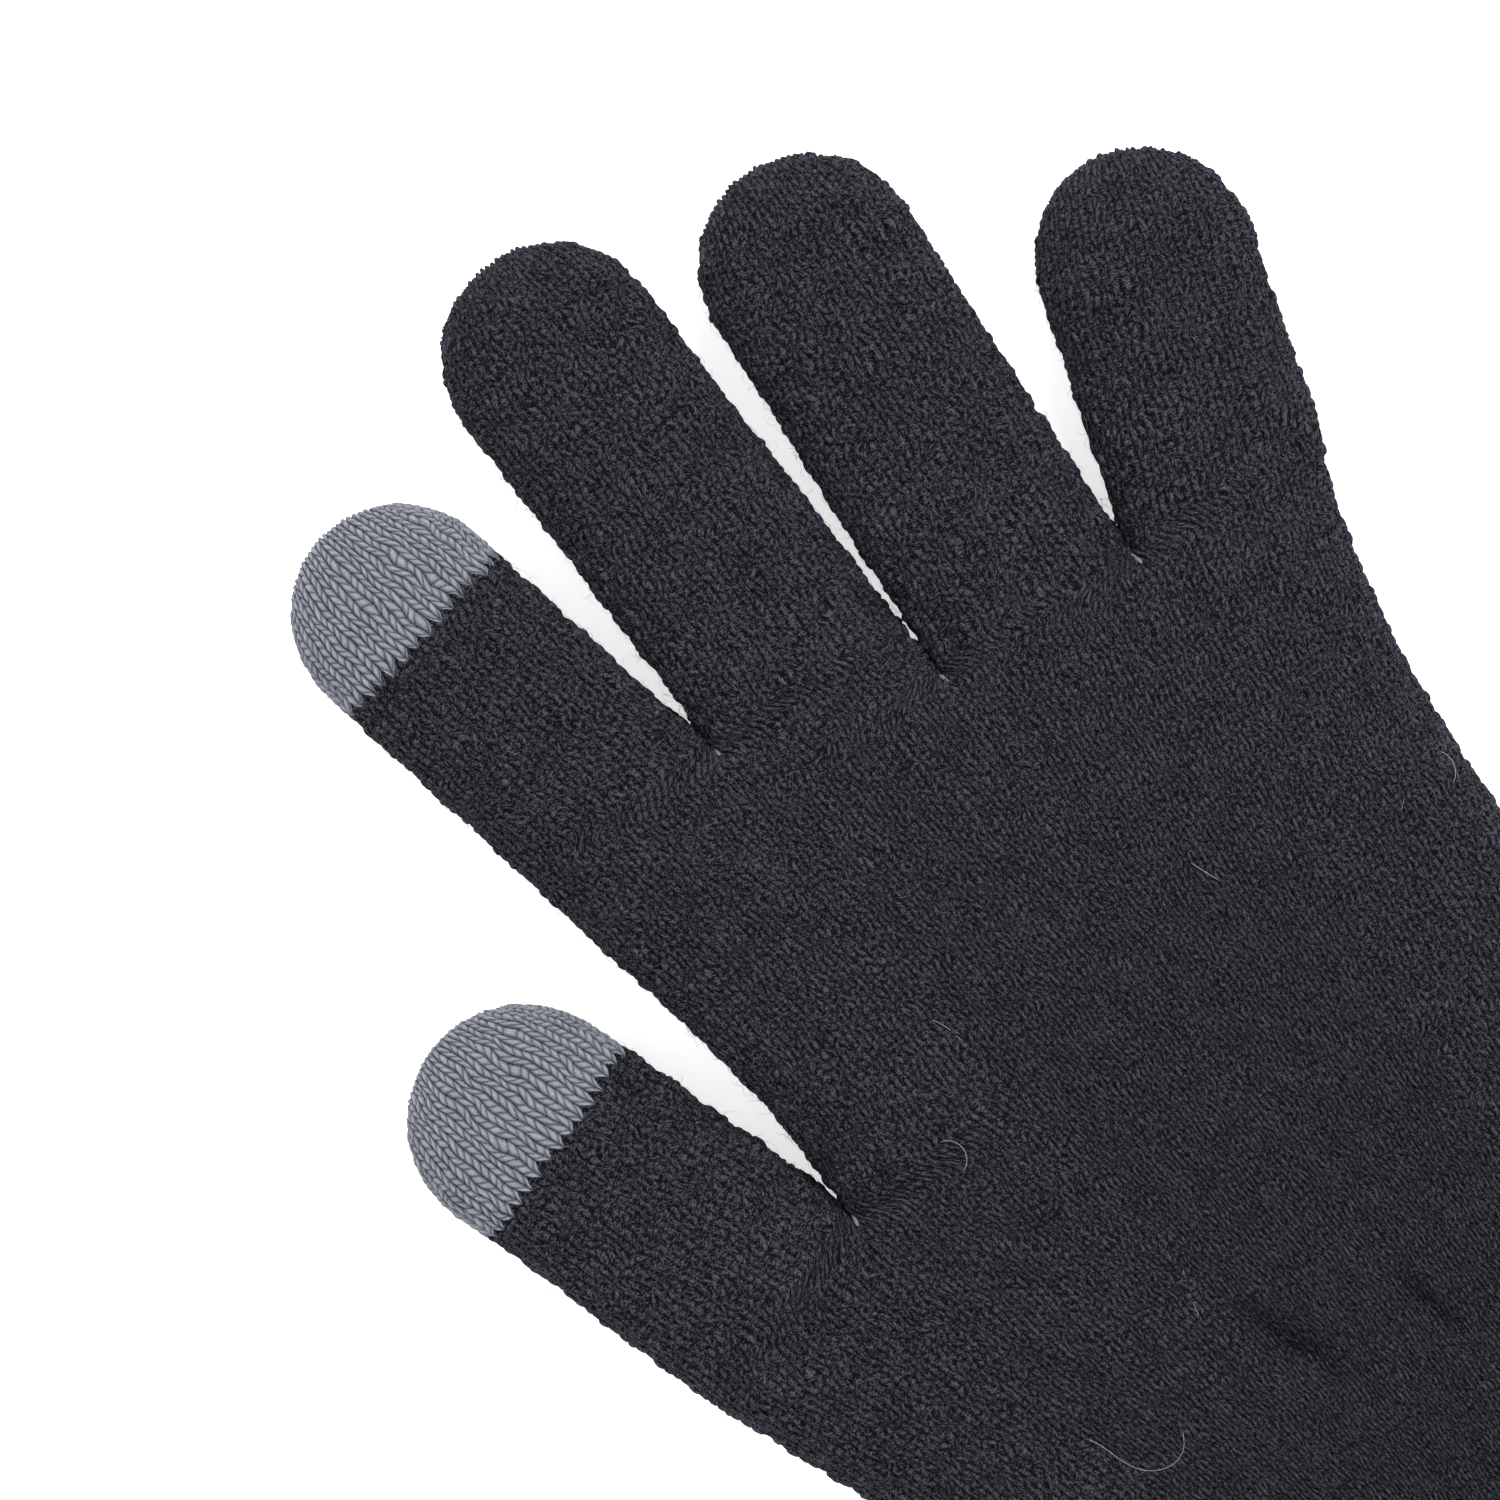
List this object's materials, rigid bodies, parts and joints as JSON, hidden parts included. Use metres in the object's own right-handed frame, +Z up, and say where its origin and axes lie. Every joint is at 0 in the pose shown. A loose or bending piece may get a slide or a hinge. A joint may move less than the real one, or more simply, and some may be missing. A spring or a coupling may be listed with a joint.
{
  "type": "touchscreen glove",
  "caption": "Knitted glove lying palm up, with bending fingers and thumb, a folding wrist, a ribbed cuff, and index and thumb tips in grey conductive yarn.",
  "frame": {"origin": "on the surface the glove lies on, under the middle of its bounding box", "axes": "+Y from the cuff to the fingertips, +Z up out of the palm, +X towards the little finger"},
  "size_m": [0.1459, 0.2486, 0.018],
  "materials": {
    "navy_knit": "matte",
    "rib_knit": "matte",
    "touch_knit": "matte",
    "elastic": "matte"
  },
  "bodies": {
    "hand": {"hand_tube": "navy_knit"},
    "cuff": {"wrist_cuff": "rib_knit", "cuff_elastic": "elastic", "cuff_hem": "rib_knit"},
    "little_base": {"little_base": "navy_knit"},
    "little_middle": {"little_middle": "navy_knit"},
    "little_end": {"little_tip": "navy_knit", "little_closing_yarn": "navy_knit"},
    "ring_base": {"ring_base": "navy_knit"},
    "ring_middle": {"ring_middle": "navy_knit"},
    "ring_end": {"ring_tip": "navy_knit", "ring_closing_yarn": "navy_knit"},
    "middle_base": {"middle_base": "navy_knit"},
    "middle_middle": {"middle_middle": "navy_knit"},
    "middle_end": {"middle_tip": "navy_knit", "middle_closing_yarn": "navy_knit"},
    "index_base": {"index_base": "navy_knit"},
    "index_middle": {"index_middle": "navy_knit"},
    "index_end": {"index_touch_tip": "touch_knit", "index_closing_yarn": "touch_knit"},
    "thumb_base": {"thumb_base": "navy_knit"},
    "thumb_end": {"thumb_sleeve": "navy_knit", "thumb_touch_tip": "touch_knit", "thumb_closing_yarn": "touch_knit"}
  },
  "joints": [
    {"name": "wrist_fold", "type": "hinge", "parent": "hand", "child": "cuff", "pos_m": [0.008, -0.07, 0.015], "axis": [-1, 0, 0], "range_deg": [0, 60]},
    {"name": "little_knuckle", "type": "hinge", "parent": "hand", "child": "little_base", "pos_m": [0.05367, 0.05757, 0.013], "axis": [1, 0, 0], "range_deg": [0, 70]},
    {"name": "little_middle_joint", "type": "hinge", "parent": "little_base", "child": "little_middle", "pos_m": [0.0568, 0.06812, 0.013], "axis": [0.9588, -0.284, 0], "range_deg": [0, 80]},
    {"name": "little_end_joint", "type": "hinge", "parent": "little_middle", "child": "little_end", "pos_m": [0.06006, 0.07914, 0.013], "axis": [0.9588, -0.284, 0], "range_deg": [0, 50]},
    {"name": "ring_knuckle", "type": "hinge", "parent": "hand", "child": "ring_base", "pos_m": [0.02588, 0.0622, 0.013], "axis": [1, 0, 0], "range_deg": [0, 70]},
    {"name": "ring_middle_joint", "type": "hinge", "parent": "ring_base", "child": "ring_middle", "pos_m": [0.02651, 0.08018, 0.013], "axis": [0.9994, -0.0349, 0], "range_deg": [0, 80]},
    {"name": "ring_end_joint", "type": "hinge", "parent": "ring_middle", "child": "ring_end", "pos_m": [0.0271, 0.09717, 0.013], "axis": [0.9994, -0.0349, 0], "range_deg": [0, 50]},
    {"name": "middle_knuckle", "type": "hinge", "parent": "hand", "child": "middle_base", "pos_m": [-0.00205, 0.07179, 0.013], "axis": [1, 0, 0], "range_deg": [0, 70]},
    {"name": "middle_middle_joint", "type": "hinge", "parent": "middle_base", "child": "middle_middle", "pos_m": [-0.00279, 0.08878, 0.013], "axis": [0.999, 0.0436, 0], "range_deg": [0, 80]},
    {"name": "middle_end_joint", "type": "hinge", "parent": "middle_middle", "child": "middle_end", "pos_m": [-0.00353, 0.10576, 0.013], "axis": [0.999, 0.0436, 0], "range_deg": [0, 50]},
    {"name": "index_knuckle", "type": "hinge", "parent": "hand", "child": "index_base", "pos_m": [-0.03003, 0.06811, 0.013], "axis": [1, 0, 0], "range_deg": [0, 70]},
    {"name": "index_middle_joint", "type": "hinge", "parent": "index_base", "child": "index_middle", "pos_m": [-0.03263, 0.07983, 0.013], "axis": [0.9763, 0.2164, 0], "range_deg": [0, 80]},
    {"name": "index_end_joint", "type": "hinge", "parent": "index_middle", "child": "index_end", "pos_m": [-0.03527, 0.09174, 0.013], "axis": [0.9763, 0.2164, 0], "range_deg": [0, 50]},
    {"name": "thumb_root", "type": "hinge", "parent": "hand", "child": "thumb_base", "pos_m": [-0.04924, 0.01202, 0.013], "axis": [0.8192, 0.5736, 0], "range_deg": [0, 80]},
    {"name": "thumb_end_joint", "type": "hinge", "parent": "thumb_base", "child": "thumb_end", "pos_m": [-0.05402, 0.02517, 0.013], "axis": [0.9397, 0.342, 0], "range_deg": [0, 70]}
  ],
  "couplings": [
    {"joint": "little_end_joint", "follows": "little_middle_joint", "ratio": 0.6},
    {"joint": "ring_end_joint", "follows": "ring_middle_joint", "ratio": 0.6},
    {"joint": "middle_end_joint", "follows": "middle_middle_joint", "ratio": 0.6},
    {"joint": "index_end_joint", "follows": "index_middle_joint", "ratio": 0.6}
  ]
}
